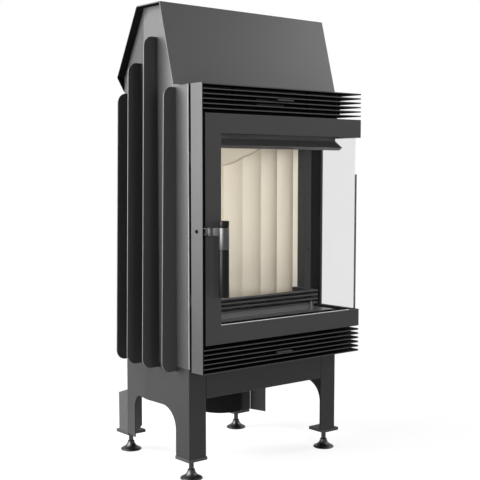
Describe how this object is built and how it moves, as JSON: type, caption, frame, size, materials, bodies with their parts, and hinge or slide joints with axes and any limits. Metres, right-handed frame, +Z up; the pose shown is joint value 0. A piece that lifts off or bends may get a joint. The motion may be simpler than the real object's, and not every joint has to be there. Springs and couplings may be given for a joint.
{
  "type": "fireplace insert",
  "caption": "Free-standing steel corner fireplace insert with a hinged L-shaped glass door, louvred air grilles, finned sides, sloped hood with flue collar and arched legs.",
  "frame": {"origin": "on the floor, under the middle of the whole object's box with the door shut", "axes": "+Z up, front of the door towards -Y, glazed side towards +X"},
  "size_m": [0.6066, 0.4792, 1.1839],
  "materials": {
    "casing": "matt heat-proof paint",
    "hood": "matt heat-proof paint",
    "fins": "matt heat-proof paint",
    "front_frame": "matt heat-proof paint",
    "door_paint": "matt heat-proof paint",
    "glass": "clear glass ceramic",
    "seal": "woven glass rope",
    "lining": "pressed mineral board",
    "guard": "matt heat-proof paint",
    "cast": "raw casting",
    "zinc": "zinc plated",
    "foot_plates": "matt heat-proof paint",
    "feet": "dark zinc",
    "handle_steel": "brushed",
    "handle_black": "matt"
  },
  "bodies": {
    "casing": {"left_side_wall": "casing", "right_side_wall": "casing", "rear_wall": "casing", "face_plate": "casing", "floor_plate": "casing", "bottom_plate": "casing", "top_plate": "casing", "side_post": "casing", "left_leg_panel": "casing", "right_leg_panel": "casing", "front_cross_rail": "casing", "left_rear_leg": "casing", "right_rear_leg": "casing", "air_intake_collar": "casing", "frame_spacers": "casing", "hinge_brackets": "casing", "air_wash_deflector": "casing", "hood_wrap": "hood", "flue_collar": "hood", "left_fin_1": "fins", "left_fin_2": "fins", "left_fin_3": "fins", "left_fin_4": "fins", "right_fin_3": "fins", "right_fin_4": "fins", "frame_side_plate": "front_frame", "upper_grille": "front_frame", "lower_grille": "front_frame", "rear_lining": "lining", "left_lining": "lining", "right_lining": "lining", "baffle_board": "lining", "log_guard": "guard", "grate": "cast", "ash_pan": "zinc", "latch_keeper": "zinc", "keeper_screw": "zinc", "front_left_foot_plate": "foot_plates", "front_right_foot_plate": "foot_plates", "rear_left_foot_plate": "foot_plates", "rear_right_foot_plate": "foot_plates"},
    "door": {"door_frame": "door_paint", "front_glass": "glass", "side_glass": "glass", "upper_glass_retainer": "door_paint", "lower_glass_retainer": "door_paint", "door_seal": "seal", "door_hinge_leaves": "door_paint", "handle_bracket": "handle_steel"},
    "handle": {"handle_arm": "handle_steel", "handle_sleeve": "handle_steel", "handle_grip": "handle_black", "handle_cap": "handle_black"},
    "upper_air_lever": {"upper_air_lever": "front_frame"},
    "lower_air_lever": {"lower_air_lever": "front_frame"},
    "front_left_foot": {"front_left_levelling_foot": "feet"},
    "front_right_foot": {"front_right_levelling_foot": "feet"},
    "rear_left_foot": {"rear_left_levelling_foot": "feet"},
    "rear_right_foot": {"rear_right_levelling_foot": "feet"}
  },
  "joints": [
    {"name": "door_hinge", "type": "hinge", "parent": "casing", "child": "door", "pos_m": [0.27533, 0.01765, 0.628], "axis": [0, 0, 1], "range_deg": [0, 95]},
    {"name": "handle_pivot", "type": "hinge", "parent": "door", "child": "handle", "pos_m": [-0.23247, -0.20235, 0.6255], "axis": [0, 0, -1], "range_deg": [0, 40]},
    {"name": "upper_air_slide", "type": "slide", "parent": "casing", "child": "upper_air_lever", "axis": [1, 0, 0], "range_m": [-0.03, 0.03]},
    {"name": "lower_air_slide", "type": "slide", "parent": "casing", "child": "lower_air_lever", "axis": [1, 0, 0], "range_m": [-0.03, 0.03]},
    {"name": "front_left_foot_screw", "type": "slide", "parent": "casing", "child": "front_left_foot", "axis": [0, 0, -1], "range_m": [0, 0.02]},
    {"name": "front_right_foot_screw", "type": "slide", "parent": "casing", "child": "front_right_foot", "axis": [0, 0, -1], "range_m": [0, 0.02]},
    {"name": "rear_left_foot_screw", "type": "slide", "parent": "casing", "child": "rear_left_foot", "axis": [0, 0, -1], "range_m": [0, 0.02]},
    {"name": "rear_right_foot_screw", "type": "slide", "parent": "casing", "child": "rear_right_foot", "axis": [0, 0, -1], "range_m": [0, 0.02]}
  ]
}
